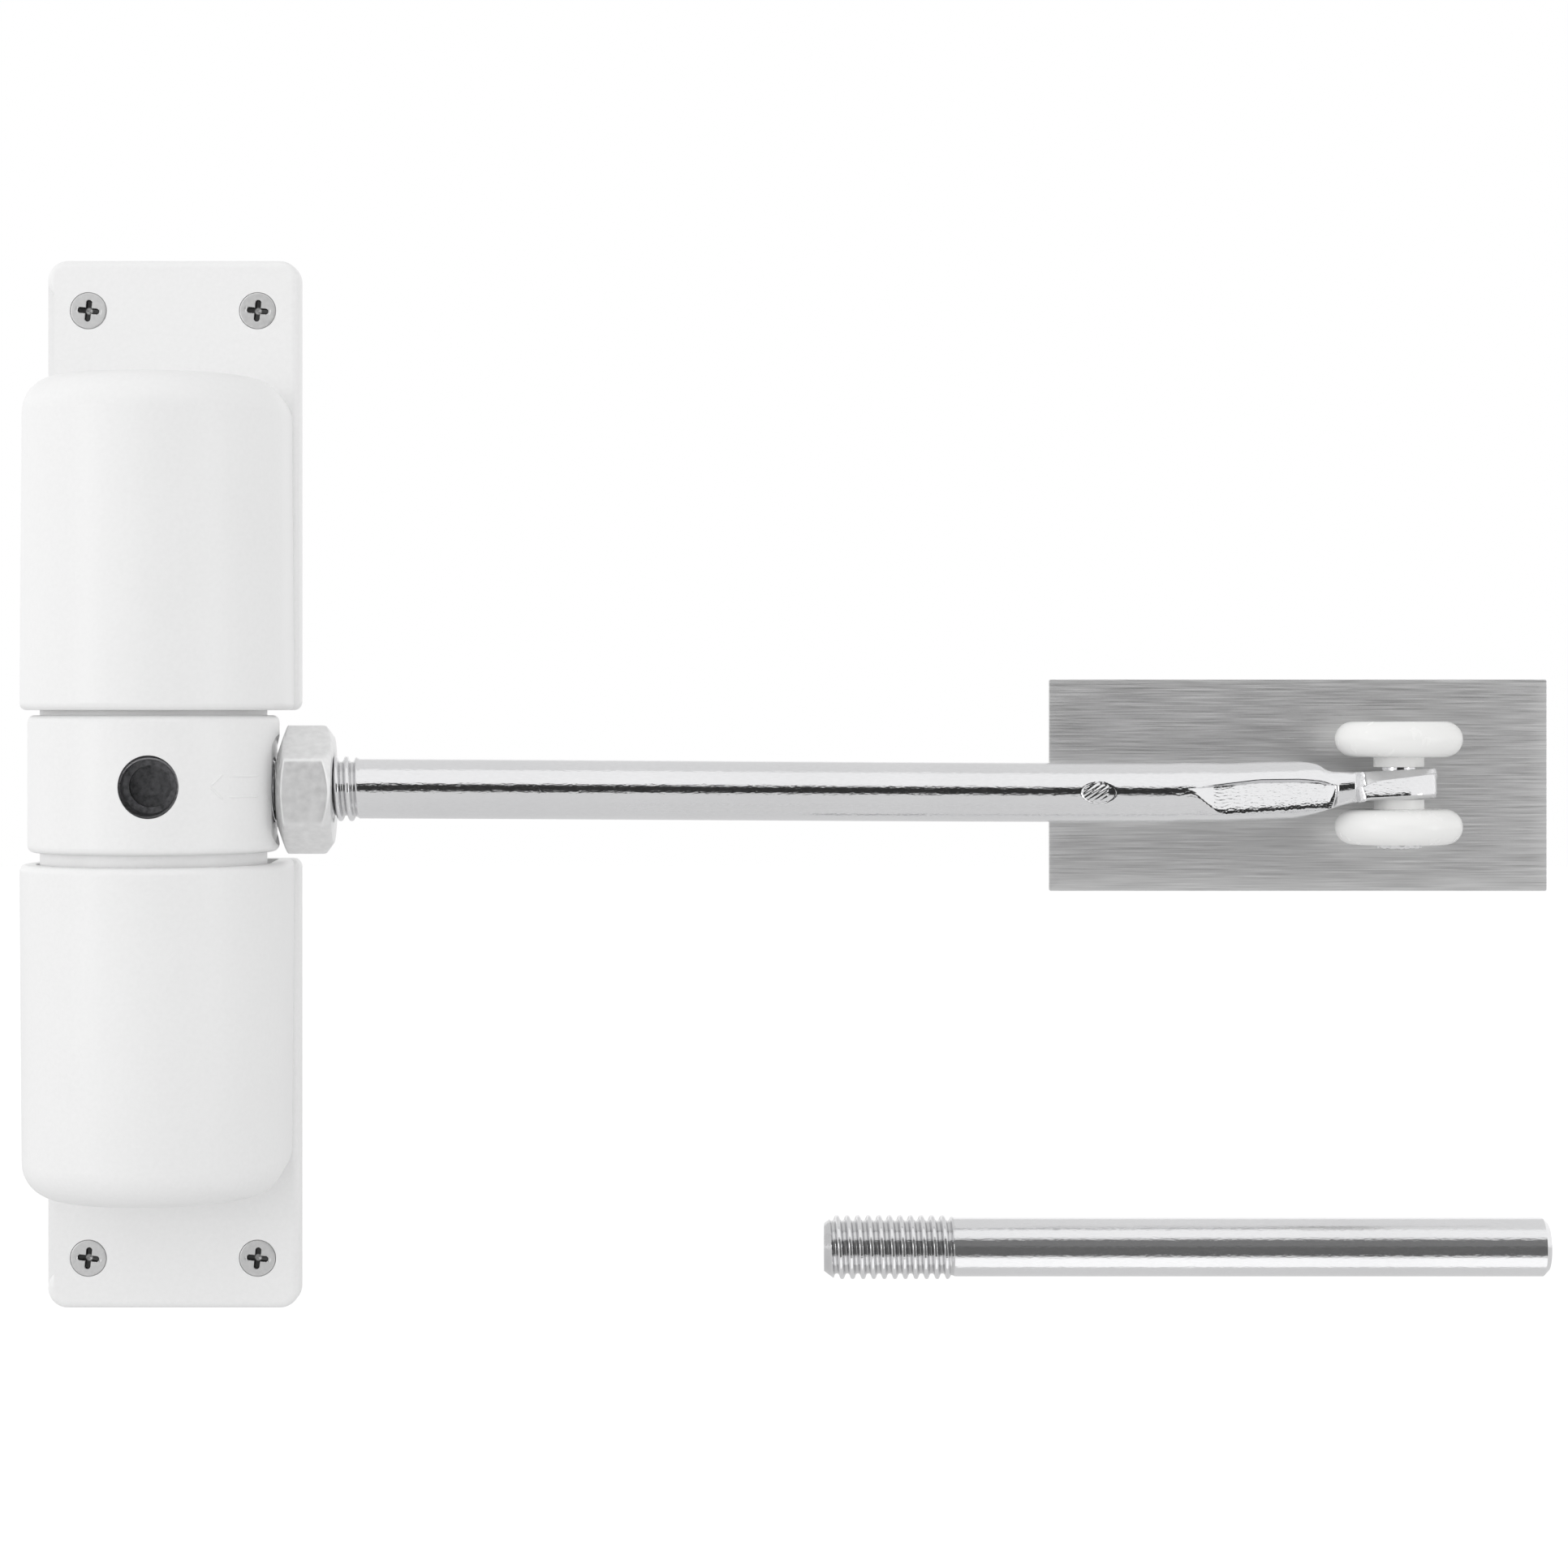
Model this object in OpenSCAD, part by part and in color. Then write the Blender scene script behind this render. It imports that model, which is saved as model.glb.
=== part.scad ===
// Spring door closer: two cast housings on a wall, a turning hub between them with a
// threaded arm and two rollers, a strike plate for the door and a loose adjusting bar.
// +Z runs along the hub axis, +X along the arm, and the back faces lie in the plane y = 0.
// The origin is the centre of the four mounting screws.

/* [Housings] */
// Width of each housing at its closed end
body_w = 38; // [36:0.5:42]
// How far the crown's centre line stands behind a half circle that touches the wall
axis_standoff = 1.5; // [1.2:0.1:4]
// Height of each housing from its open end to its closed end
housing_h = 48.5; // [44:0.5:60]
// Clear gap between the two open ends
gap_h = 22.4; // [21.8:0.2:26]
// Thickness of the curved side wall
side_wall = 2; // [1.6:0.1:2.6]
// Angle by which the sides lean in from the crown to the back plate
side_lean = 3.6; // [2:0.2:5]
// Thickness of the closed end
end_wall = 2.5; // [2:0.1:4]
// Thickness of the wall behind the springs
back_wall = 3.5; // [3.2:0.1:4]
// Casting draft: how much wider each side is at the open end
draft = 0.3; // [0:0.05:0.5]
// Rounding of the closed end
crown_fillet = 5.2; // [2:0.1:6]
// Rounding of the open end
mouth_r = 1; // [0.5:0.1:1.4]

/* [Screw tabs] */
// Thickness of the screw tab
tab_t = 4; // [3.4:0.1:5]
// Length of the tab beyond the closed end
tab_h = 19.3; // [17:0.1:26]
// Corner radius of the tab
corner_r = 3; // [2:0.1:4]
// Rounding of the tab's front edge
edge_r = 1.1; // [0.5:0.1:1.6]
// Distance between the two screws of a tab
screw_spacing = 25.5; // [20:0.5:27]
// Distance from the tab's end to its screws
screw_edge = 7.6; // [6:0.1:9]

/* [Mounting screws] */
// Head diameter
screw_head_d = 5.5; // [5:0.1:6.4]
// Diameter of the neck inside the tab
screw_neck_d = 3.4; // [3.3:0.1:3.6]
// Diameter of the plain shank behind the tab
screw_shank_d = 2.84; // [2.4:0.02:2.9]
// Length of the plain shank behind the tab
screw_shank_len = 7; // [5:0.5:10]
// Length of the threaded part with its point
screw_thread_len = 16; // [12:0.5:24]

/* [Hub] */
// How far the collar is smaller than the housings, each side
collar_inset = 0.82; // [0.4:0.02:1.2]
// Height of the collar between the housings
collar_h = 19.9; // [19.2:0.1:21]
// How far the collar sits above the middle of the gap
collar_lift = 0.5; // [0:0.1:0.6]
// Rounding of the collar's rims
collar_edge_r = 1; // [0.5:0.1:1.6]
// Radial gap between the collar's spigots and the housings
spigot_gap = 0.6; // [0.4:0.05:1]
// How far each spigot reaches into its housing
spigot_depth = 4.8; // [3.5:0.1:6]
// How far the steel core stands out of each spigot
core_stand = 1; // [0.5:0.1:2]
// Radius of the tapped holes
tapped_r = 4.1; // [3.9:0.05:4.3]
// Angle by which the spare hole stands further round than square to the arm's hole
spare_turn = 4.1; // [0:0.1:6]
// Height of the spare hole above the middle of the gap
spare_z = 0.3; // [0:0.1:0.6]
// Depth of the flat seat that is cut into the collar under the arm
seat_depth = 0.68; // [0.5:0.02:1.3]
// Radius of that seat
seat_cut_r = 8.15; // [7.6:0.05:8.6]

/* [Shaft] */
// Shaft diameter
shaft_d = 8; // [7:0.1:8.4]
// Wall of the bushings
bush_wall = 1.4; // [1:0.1:1.8]
// Length of each bushing
bush_len = 9.5; // [6:0.5:11]
// Wall of the spacer sleeves
sleeve_wall = 1.9; // [1.2:0.1:2.6]
// Thickness of the thrust washers
washer_t = 0.8; // [0.5:0.1:1.2]
// Wall of the thrust washers
washer_wall = 3.9; // [3:0.1:5]

/* [Springs] */
// Wire diameter
wire_d = 3; // [2.6:0.1:3.2]
// Number of turns in each spring
turns = 8; // [6:1:8]
// Room between a spring at rest and the housing wall
spring_room = 2.2; // [1.6:0.1:3]
// How deep each wire end sits in its hole
leg_depth = 4; // [3:0.1:4.4]

/* [Anchor plugs] */
// Thickness of the plug that holds the outer end of a spring
plug_t = 5.5; // [4.8:0.1:6.5]
// Space between the plug and the closed end, for the retaining clip
clip_room = 2.2; // [1.8:0.1:3]
// Diameter of the screw that holds the plug
anchor_d = 4; // [3:0.5:4]
// Length of that screw
anchor_len = 13; // [10:0.5:14]

/* [Arm] */
// Distance from the hub axis to the roller pin
arm_reach = 183.7; // [150:0.1:220]
// Rod diameter
rod_d = 8.75; // [8.2:0.05:9]
// Outer diameter of the thread
thread_d = 9.54; // [9.5:0.02:9.8]
// Thread pitch, sixteen to the inch
thread_pitch = 1.5875; // [1.25:0.0125:2]
// Length of thread that shows beyond the nut
thread_show = 3.6; // [2:0.1:8]
// How far the arm's centre line lies below the middle of the gap
arm_drop = 0.45; // [0:0.05:0.6]
// Length of the forged taper before the tongue
taper_len = 18; // [14:1:24]
// Thickness of the forged tongue
tongue_t = 4.5; // [4:0.1:5]
// Width of the tongue
tongue_w = 11.2; // [10:0.1:12]
// Height of the tongue's centre above the middle of the gap
tongue_lift = 0.37; // [0:0.01:0.5]

/* [Lock nut] */
// Width across the flats
nut_af = 16.5; // [14.4:0.1:17]
// Thickness of the nut
nut_t = 8.1; // [6:0.1:9]
// Distance from the flat seat to the nut
nut_stand = 0.6; // [0.2:0.1:1.2]
// Radius at which the nut's shallow cone meets its inner face
nut_face_r = 5.6; // [5.2:0.1:8]
// Radius at which the chamfer meets the nut's outer face
nut_end_r = 7.8; // [7:0.1:8]

/* [Rollers] */
// Roller diameter
roller_d = 18.8; // [16:0.1:22]
// Width of the roller's rim
roller_w = 5.2; // [4.6:0.1:6]
// Diameter of the boss that spaces the roller from the tongue
boss_d = 7.5; // [7.2:0.1:9]
// Length of the boss
boss_len = 1.55; // [1:0.05:2.5]
// Diameter of the roller pin
pin_d = 5; // [4:0.1:5.2]
// Diameter of the pin's heads
pin_head_d = 7; // [6.4:0.1:7.2]

/* [Strike plate] */
// Width of the plate along the arm
strike_w = 75.3; // [60:0.1:100]
// Height of the plate
strike_h = 32; // [26:1:40]
// Thickness of the steel
strike_t = 1.2; // [0.8:0.1:1.6]
// Thickness of the adhesive pad behind it
pad_t = 0.8; // [0.5:0.1:1.4]
// How far the pad stays inside the plate's edge
pad_inset = 1; // [0.5:0.5:3]
// Distance from the roller pin to the plate's far edge
strike_lead = 24; // [14:0.1:30]
// How far the plate sits below the middle of the gap
strike_drop = 0.15; // [0:0.05:1]

/* [Adjusting bar] */
// Length of the loose bar
bar_len = 108.9; // [90:0.1:140]
// Length of its thread
bar_thread_len = 19.4; // [14:0.1:26]
// Distance from the hub axis to the near end of the bar
bar_x = 98.1; // [60:0.1:110]
// How far the bar lies below the middle of the gap
bar_drop = 69.6; // [50:0.1:80]

/* [Hidden] */

$fn = 96;

// Clearance between parts that slide into each other and stay there
slip = 0.05;
// Running clearance between turning parts
run = 0.04;
// End play between stacked parts
play = 0.1;
// Amount by which a cut runs past the face it opens
past = 1;

// Places along the hub axis, all measured up from the middle of the gap
mouth_z = gap_h / 2;
closed_z = mouth_z + housing_h;
tab_z = closed_z + tab_h;
screw_z = tab_z - screw_edge;
cavity_end = closed_z - end_wall;
spigot_z = mouth_z + spigot_depth;
core_z = spigot_z + core_stand;
plug_top = cavity_end - clip_room;
plug_z = plug_top - plug_t;
washer_z = core_z + play;
sleeve_z = washer_z + washer_t + play;
collar_low = collar_lift - collar_h / 2;
collar_high = collar_lift + collar_h / 2;

// Corner radius of the back plate at the open end, and how deep the crown runs into the plate
notch_r = edge_r + 0.2;
plate_lap = tab_t / 2;

// Radii about the hub axis
crown_r = body_w / 2;
hub_d = crown_r + axis_standoff;
mouth_half = crown_r + draft;
cavity_r = crown_r - side_wall;
collar_r = crown_r - collar_inset;
spigot_r = cavity_r - spigot_gap;
wire_r = wire_d / 2;
coil_r = cavity_r - spring_room - wire_r;
// The core is smaller than the coil, so each wire end keys the core to the collar
core_r = coil_r - wire_d * 0.27;
shaft_r = shaft_d / 2;
bush_r = shaft_r + run + bush_wall;
thread_r = thread_d / 2;
// Depth of a sharp sixty degree thread, less its rounded crest and root
thread_depth = thread_pitch * 0.52;
root_r = thread_r - thread_depth;
rod_r = rod_d / 2;

// Arm's seat, nut and thread, along the arm from the hub axis
seat_r = collar_r - seat_depth;
nut_near = seat_r + nut_stand;
nut_far = nut_near + nut_t;
thread_end = nut_far + thread_show;
// Flat spot on the core under each tapped hole, and the blind recess in its middle
spot_r = tapped_r + 0.2;
spot_x = sqrt(core_r * core_r - spot_r * spot_r) - 0.2;
recess_r = tapped_r * 0.73;
recess_x = spot_x - recess_r;

// Heads of the screws
screw_rim = 0.25;
anchor_head_r = anchor_d * 0.95;
anchor_flush = 0.1;

// Clip and shaft end
clip_t = shaft_d * 0.1;
clip_r = shaft_r * 1.75;
groove_depth = shaft_d * 0.075;
clip_z = plug_top + play;
shaft_end = clip_z + clip_t * 1.75;

// Wire path
coil_space = 0.4;
bend_r = wire_d * 0.9;
coil_first = core_z + coil_space + wire_r;
coil_last = plug_z - coil_space - wire_r;
coil_pitch = (coil_last - coil_first) / turns;
bend_angle = bend_r / coil_r * 180 / PI;
leg_angle = 200;
plug_leg_angle = leg_angle + 360 * turns + 2 * bend_angle;
leg_hole_r = wire_r + 0.25;
rings_per_turn = 8;
wire_sides = 6;

// Roller stack, in the arm's own direction
roller_r = roller_d / 2;
roller_gap = 0.15;
strike_face = pad_t + strike_t;
arm_tilt = asin((hub_d - strike_face - roller_gap - roller_r) / arm_reach);
pin_x = arm_reach * cos(arm_tilt);
pin_y = -hub_d + arm_reach * sin(arm_tilt);
pin_r = pin_d / 2;
pin_head_r = pin_head_d / 2;
pin_head_t = 1;
boss_gap = 0.12;
boss_face = tongue_t / 2 + boss_gap;
roller_in = boss_face + boss_len;
roller_out = roller_in + roller_w;
bar_r = rod_r;
bar_y = -thread_r;

// Profile of a housing beside its axis: draft, rounded mouth and rounded closed end
module wall_profile() {
    polygon([[0, mouth_z], [mouth_half - mouth_r, mouth_z],
        [mouth_half, mouth_z + mouth_r], [crown_r, closed_z - crown_fillet],
        [crown_r - crown_fillet, closed_z], [0, closed_z]]);
    translate([mouth_half - mouth_r, mouth_z + mouth_r]) circle(mouth_r);
    translate([crown_r - crown_fillet, closed_z - crown_fillet]) circle(crown_fillet);
}

// Turns a shape drawn in x and z into a slab that starts at y = 0 and grows forward
module from_wall(depth) {
    rotate([90, 0, 0]) linear_extrude(depth) children();
}

// Rectangle with one corner radius at its foot and another at its top
module rounded_rect(w, h, foot_r, top_r) {
    polygon([[foot_r - w / 2, 0], [w / 2 - foot_r, 0], [w / 2, foot_r], [w / 2, h - top_r],
        [w / 2 - top_r, h], [top_r - w / 2, h], [-w / 2, h - top_r], [-w / 2, foot_r]]);
    for (x = [-1, 1], c = [[foot_r, foot_r], [h - top_r, top_r]])
        translate([x * (w / 2 - c[1]), c[0]]) circle(c[1]);
}

// Rounded corner of radius corner whose front edge is rounded by edge
module soft_corner(corner, edge) {
    rotate([90, 0, 0]) rotate_extrude() intersection() {
        translate([corner - edge, 0]) circle(edge);
        translate([0, -edge]) square([corner, 2 * edge]);
    }
}

// Plate against the wall with round corners and a rounded front edge
module soft_slab(w, h, t, foot_r, top_r, edge) {
    from_wall(t - edge) rounded_rect(w, h, foot_r, top_r);
    from_wall(t) translate([0, edge])
        rounded_rect(w - 2 * edge, h - 2 * edge, foot_r - edge, top_r - edge);
    for (x = [-1, 1]) {
        translate([x * (w / 2 - edge), edge - t, foot_r])
            cylinder(h = h - foot_r - top_r, r = edge);
        translate([x * (w / 2 - foot_r), edge - t, foot_r]) soft_corner(foot_r, edge);
        translate([x * (w / 2 - top_r), edge - t, h - top_r]) soft_corner(top_r, edge);
    }
    translate([foot_r - w / 2, edge - t, edge])
        rotate([0, 90, 0]) cylinder(h = w - 2 * foot_r, r = edge);
    translate([top_r - w / 2, edge - t, h - edge])
        rotate([0, 90, 0]) cylinder(h = w - 2 * top_r, r = edge);
}

// Turns parts drawn about the Z axis into place on the hub axis
module on_axis() { translate([0, -hub_d, 0]) children(); }

// Carries a shape drawn beside the hub axis round the crown and on, leaning in, to y = -back
module round_crown(back) {
    difference() {
        on_axis() {
            rotate([0, 0, 180 - side_lean])
                rotate_extrude(angle = 180 + 2 * side_lean) children();
            for (side = [0, 1]) mirror([side, 0]) rotate([0, 0, side_lean])
                translate([0, hub_d, 0]) from_wall(hub_d) children();
        }
        translate([-body_w, -back, 0]) cube([2 * body_w, body_w, tab_z]);
    }
}

// Hole along Y, from the face y = face, for a countersunk screw with a straight rim
module sunk_hole(x, z, face, deep, hole_r, head_r, rim, towards) {
    sink = head_r - hole_r;
    translate([x, face, z]) rotate([towards * 90, 0, 0]) {
        cylinder(h = deep + past, r = hole_r);
        translate([0, 0, -past]) cylinder(h = rim + past, r = head_r);
        translate([0, 0, rim]) cylinder(h = sink, r1 = head_r, r2 = hole_r);
    }
}

module housing() {
    difference() {
        union() {
            round_crown(plate_lap) wall_profile();
            translate([0, 0, mouth_z])
                soft_slab(body_w, tab_z - mouth_z, tab_t, notch_r, corner_r, edge_r);
        }
        round_crown(back_wall) translate([0, mouth_z - past])
            square([cavity_r, cavity_end - mouth_z + past]);
        for (x = [-1, 1]) sunk_hole(x * screw_spacing / 2, screw_z, -tab_t, tab_t,
            screw_neck_d / 2 + slip, screw_head_d / 2 + slip, screw_rim, -1);
        sunk_hole(0, plug_z + plug_t / 2, 0, back_wall, anchor_d / 2 + slip,
            anchor_head_r + slip, anchor_flush, 1);
    }
}

module upper_housing() { color("whitesmoke") housing(); }
module lower_housing() { color("whitesmoke") mirror([0, 0, 1]) housing(); }

// Ring-shaped crests from z = 0 to z = length, with a plain lead at both ends
function crest_points(length, major, minor, pitch) =
    let (count = floor((length - pitch) / pitch), lead = (length - count * pitch) / 2)
    concat([[0, 0], [minor, 0], [minor, lead]],
        [for (i = [0 : count - 1], s = [[0.25, major], [0.5, major], [0.75, minor], [1, minor]])
            [s[1], lead + (i + s[0]) * pitch]],
        [[minor, length], [0, length]]);

module crests(length, major, minor, pitch) {
    rotate_extrude() polygon(crest_points(length, major, minor, pitch));
}

// Cross recess of a screw head, drawn on the axis with its mouth at z = 0
module cross_recess(span, slot, deep) {
    for (turn = [0, 90]) rotate([0, 0, turn])
        translate([-span / 2, -slot / 2, 0]) cube([span, slot, deep + past]);
}

// Countersunk wood screw along +Z with the head's top at z = 0
module wood_screw() {
    head_r = screw_head_d / 2;
    neck_r = screw_neck_d / 2;
    shank_r = screw_shank_d / 2;
    cone = head_r - neck_r;
    shank_z = tab_t + 0.2;
    thread_z = tab_t + screw_shank_len;
    point = 3;
    core = shank_r * 0.72;
    difference() {
        union() {
            cylinder(h = screw_rim, r = head_r - slip);
            translate([0, 0, screw_rim])
                cylinder(h = cone, r1 = head_r - slip, r2 = neck_r - slip);
            translate([0, 0, screw_rim]) cylinder(h = shank_z - screw_rim, r = neck_r - slip);
            translate([0, 0, shank_z]) cylinder(h = thread_z - shank_z, r = shank_r);
            translate([0, 0, thread_z]) crests(screw_thread_len - point, shank_r, core, 1.2);
            translate([0, 0, thread_z + screw_thread_len - point])
                cylinder(h = point, r1 = core, r2 = 0.15);
        }
        mirror([0, 0, 1]) translate([0, 0, -1.1]) rotate([0, 0, 6])
            cross_recess(head_r * 1.2, head_r * 0.27, 1.1);
    }
}

module mounting_screws() {
    color("silver") for (x = [-1, 1], z = [-1, 1])
        translate([x * screw_spacing / 2, -tab_t, z * screw_z]) rotate([-90, 0, 0]) wood_screw();
}

module ring(low, high, inner, outer) {
    translate([0, 0, low]) difference() {
        cylinder(h = high - low, r = outer);
        translate([0, 0, -past]) cylinder(h = high - low + 2 * past, r = inner);
    }
}

module center_shaft() {
    lead = 0.6;
    color("gray") on_axis() difference() {
        union() {
            translate([0, 0, lead - shaft_end]) cylinder(h = 2 * (shaft_end - lead), r = shaft_r);
            for (side = [0, 1]) mirror([0, 0, side]) translate([0, 0, shaft_end - lead])
                cylinder(h = lead, r1 = shaft_r, r2 = shaft_r - lead / 2);
        }
        for (side = [0, 1]) mirror([0, 0, side])
            ring(clip_z - slip, clip_z + clip_t + slip, shaft_r - groove_depth, shaft_r + past);
    }
}

// Snap ring, open to one side, in the groove at each end of the shaft
module retaining_clips() {
    neck = 2 * (shaft_r - groove_depth) * 0.86;
    color("dimgray") for (side = [0, 1]) mirror([0, 0, side]) on_axis() difference() {
        ring(clip_z, clip_z + clip_t, shaft_r - groove_depth + slip, clip_r);
        translate([0, -neck / 2, clip_z - past]) cube([clip_r + past, neck, clip_t + 2 * past]);
    }
}

module thrust_washer() {
    ring(washer_z, washer_z + washer_t, shaft_r + slip, shaft_r + slip + washer_wall);
}

module upper_thrust_washer() { color("khaki") on_axis() thrust_washer(); }
module lower_thrust_washer() { color("khaki") on_axis() mirror([0, 0, 1]) thrust_washer(); }

module spacer_sleeve() {
    ring(sleeve_z, plug_z - play, shaft_r + slip, shaft_r + slip + sleeve_wall);
}

module upper_spacer_sleeve() { color("lightsteelblue") on_axis() spacer_sleeve(); }
module lower_spacer_sleeve() {
    color("lightsteelblue") on_axis() mirror([0, 0, 1]) spacer_sleeve();
}

function unit(v) = v / norm(v);
function on_coil(angle, z) = [coil_r * cos(angle), coil_r * sin(angle), z];

// Centre line of a spring: straight end, bend, helix, bend, straight end
function wire_path() = let (bends = [0, 30, 60, 90], whole = turns * rings_per_turn)
    concat(
        [on_coil(leg_angle, core_z - leg_depth)],
        [for (a = bends) on_coil(leg_angle + bend_angle * (1 - cos(a)),
            coil_first - bend_r + bend_r * sin(a))],
        [for (i = [1 : whole - 1]) on_coil(leg_angle + bend_angle + 360 * i / rings_per_turn,
            coil_first + coil_pitch * i / rings_per_turn)],
        [for (a = bends) on_coil(plug_leg_angle - bend_angle * (1 - sin(a)),
            coil_last + bend_r * (1 - cos(a)))],
        [on_coil(plug_leg_angle, plug_z + leg_depth)]);

// Six-sided ring of points about one point of the centre line
function wire_ring(path, i) =
    let (last = len(path) - 1, t = unit(path[min(i + 1, last)] - path[max(i - 1, 0)]),
        out = unit([path[i][0], path[i][1], 0]), u = unit(out - (out * t) * t), v = cross(t, u))
    [for (k = [0 : wire_sides - 1]) let (a = 360 * k / wire_sides)
        path[i] + wire_r * (cos(a) * u + sin(a) * v)];

module wire(path) {
    rings = len(path);
    n = wire_sides;
    side_faces = [for (i = [0 : rings - 2], k = [0 : n - 1], half = [0, 1])
        let (a = i * n + k, b = i * n + (k + 1) % n)
        half == 0 ? [a, a + n, b] : [b, a + n, b + n]];
    start_cap = [for (k = [1 : n - 2]) [0, k, k + 1]];
    end_cap = [for (k = [1 : n - 2]) let (o = (rings - 1) * n) [o, o + k + 1, o + k]];
    polyhedron([for (i = [0 : rings - 1]) each wire_ring(path, i)],
        concat(side_faces, start_cap, end_cap));
}

// Least gap between two turns of the wire, taken between points half a turn or more apart
function least_gap(path) = min([for (i = [0 : len(path) - 1], j = [0 : len(path) - 1])
    if (j >= i + rings_per_turn / 2) norm(path[i] - path[j])]) - wire_d;

echo(least_gap_of_spring = least_gap(wire_path()));

module upper_spring() { color("slategray") on_axis() wire(wire_path()); }
module lower_spring() { color("slategray") mirror([0, 0, 1]) on_axis() wire(wire_path()); }

module anchor_plug() {
    difference() {
        round_crown(back_wall + slip * 4) translate([0, plug_z])
            square([cavity_r - slip * 4, plug_t]);
        on_axis() translate([0, 0, plug_z - past]) cylinder(h = plug_t + 2 * past, r = shaft_r + slip);
        on_axis() rotate([0, 0, plug_leg_angle]) translate([coil_r, 0, plug_z - past])
            cylinder(h = leg_depth + 0.4 + past, r = leg_hole_r);
        translate([0, 0, plug_z + plug_t / 2]) rotate([90, 0, 0])
            cylinder(h = anchor_len + 1, r = anchor_d / 2 + slip);
    }
}

module upper_anchor_plug() { color("darkgray") anchor_plug(); }
module lower_anchor_plug() { color("darkgray") mirror([0, 0, 1]) anchor_plug(); }

// Countersunk machine screw from the back face into each plug
module anchor_screws() {
    shank_r = anchor_d / 2;
    color("silver") for (side = [0, 1]) mirror([0, 0, side])
        translate([0, -anchor_flush, plug_z + plug_t / 2]) rotate([90, 0, 0]) difference() {
            union() {
                cylinder(h = anchor_head_r - shank_r, r1 = anchor_head_r - slip, r2 = shank_r);
                cylinder(h = back_wall, r = shank_r);
                translate([0, 0, back_wall])
                    crests(anchor_len - back_wall, shank_r, shank_r * 0.825, 0.7);
            }
            mirror([0, 0, 1]) translate([0, 0, -1.2]) cross_recess(anchor_d, anchor_d * 0.225, 1.2);
        }
}

module strike_plate() {
    color("silver")
        translate([pin_x + strike_lead - strike_w, -strike_face, -strike_drop - strike_h / 2])
        cube([strike_w, strike_t, strike_h]);
}

module adhesive_pad() {
    color("white")
        translate([pin_x + strike_lead - strike_w + pad_inset, -pad_t,
            pad_inset - strike_drop - strike_h / 2])
        cube([strike_w - 2 * pad_inset, pad_t, strike_h - 2 * pad_inset]);
}

// Thread with a tapered start at z = 0; its core runs on into the rod behind it
module screw_end(length) {
    start = thread_pitch * 0.75;
    cylinder(h = start, r1 = root_r - start / 2, r2 = root_r);
    translate([0, 0, start]) cylinder(h = length - start + past, r = root_r);
    translate([0, 0, start]) crests(length - start, thread_r, root_r, thread_pitch);
}

module adjusting_bar() {
    lead = bar_r * 0.19;
    color("silver") translate([bar_x, bar_y, -bar_drop]) rotate([0, 90, 0]) {
        screw_end(bar_thread_len);
        rotate_extrude() polygon([[0, bar_thread_len], [bar_r, bar_thread_len],
            [bar_r, bar_len - lead], [bar_r - lead, bar_len], [0, bar_len]]);
    }
}

// Parts that turn with the arm: local +X is the arm's direction
module with_arm() { on_axis() rotate([0, 0, arm_tilt]) children(); }

// Profile of the collar beside its axis: rounded barrel and two spigots
module collar_profile() {
    square([collar_r - collar_edge_r, collar_h]);
    translate([0, collar_edge_r]) square([collar_r, collar_h - 2 * collar_edge_r]);
    for (z = [collar_edge_r, collar_h - collar_edge_r])
        translate([collar_r - collar_edge_r, z]) circle(collar_edge_r);
}

// The hole that each spring's inner end drops into, at both ends of the core
module leg_holes() {
    for (side = [0, 1]) mirror([0, 0, side])
        rotate([0, 0, leg_angle - arm_tilt]) translate([coil_r, 0, core_z - leg_depth - 0.4])
        cylinder(h = leg_depth + 0.4 + past, r = leg_hole_r);
}

// Direction of the arm's hole along +X, and of the spare tapped hole close to -Y
module arm_way() { translate([0, 0, -arm_drop]) rotate([0, 90, 0]) children(); }
module front_way() {
    translate([0, 0, spare_z]) rotate([0, 0, spare_turn]) rotate([90, 0, 0]) children();
}

module hub_collar() {
    mouth_chamfer = 0.42;
    chamfer_z = collar_r - 0.97;
    color("white") with_arm() difference() {
        union() {
            translate([0, 0, collar_low]) rotate_extrude() collar_profile();
            translate([0, 0, -spigot_z]) cylinder(h = 2 * spigot_z, r = spigot_r);
        }
        translate([0, 0, -spigot_z - past]) cylinder(h = 2 * (spigot_z + past), r = core_r + 0.02);
        leg_holes();
        arm_way() cylinder(h = collar_r + past, r = thread_r + slip * 1.5);
        arm_way() translate([0, 0, seat_r]) cylinder(h = collar_r, r = seat_cut_r);
        front_way() cylinder(h = collar_r + past, r = tapped_r);
        front_way() translate([0, 0, chamfer_z])
            cylinder(h = 2 * (collar_r - chamfer_z), r1 = tapped_r,
                r2 = tapped_r + 2 * mouth_chamfer);
    }
}

// Flat spot that a threaded end bottoms on, with a recess for its dog point
module core_seat() {
    translate([0, 0, spot_x]) cylinder(h = core_r, r = spot_r);
    translate([0, 0, recess_x]) cylinder(h = core_r, r = recess_r);
}

module drive_core() {
    color("dimgray") with_arm() difference() {
        translate([0, 0, -core_z]) cylinder(h = 2 * core_z, r = core_r);
        translate([0, 0, -core_z - past]) cylinder(h = 2 * (core_z + past), r = shaft_r + 0.4);
        for (side = [0, 1]) mirror([0, 0, side]) translate([0, 0, core_z - bush_len])
            cylinder(h = bush_len + past, r = bush_r + 0.02);
        leg_holes();
        arm_way() core_seat();
        front_way() core_seat();
    }
}

module bushing() { ring(core_z - bush_len + play, core_z, shaft_r + run, bush_r); }
module upper_bushing() { color("goldenrod") on_axis() bushing(); }
module lower_bushing() { color("goldenrod") on_axis() mirror([0, 0, 1]) bushing(); }

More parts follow.
